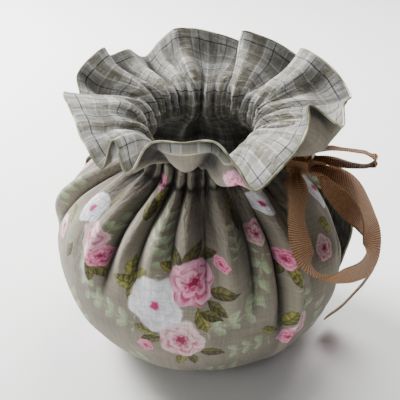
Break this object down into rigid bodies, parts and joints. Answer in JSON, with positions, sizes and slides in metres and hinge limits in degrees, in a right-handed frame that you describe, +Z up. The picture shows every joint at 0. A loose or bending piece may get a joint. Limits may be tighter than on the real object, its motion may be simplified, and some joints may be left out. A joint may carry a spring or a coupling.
{
  "type": "tea cosy",
  "caption": "Gathered cloth tea cosy with a rose-printed outside, checked lining, side slits for spout and handle, and a frilled neck drawn in by a ribbon bow",
  "frame": {"origin": "on the table the cosy stands on, under the middle of the body", "axes": "+X towards the handle's side, where the ribbon is tied, -X towards the spout's side, -Y the front, +Z up"},
  "size_m": [0.1839, 0.1663, 0.1633],
  "materials": {
    "printed_cloth": "matt linen-look cotton in greige, printed with pink and white roses and olive and mint leaves",
    "checked_cloth": "matt cotton woven in a light grey and taupe check with thin dark lines",
    "grosgrain_ribbon": "tan grosgrain ribbon with a fine cross rib and a slight sheen"
  },
  "bodies": {
    "root": {"outer_front": "printed_cloth", "outer_back": "printed_cloth", "lining_front": "checked_cloth", "lining_back": "checked_cloth", "ribbon_knot": "grosgrain_ribbon", "ribbon_lead": "grosgrain_ribbon", "ribbon_long_loop": "grosgrain_ribbon", "ribbon_short_loop": "grosgrain_ribbon", "ribbon_tail": "grosgrain_ribbon"}
  },
  "joints": []
}
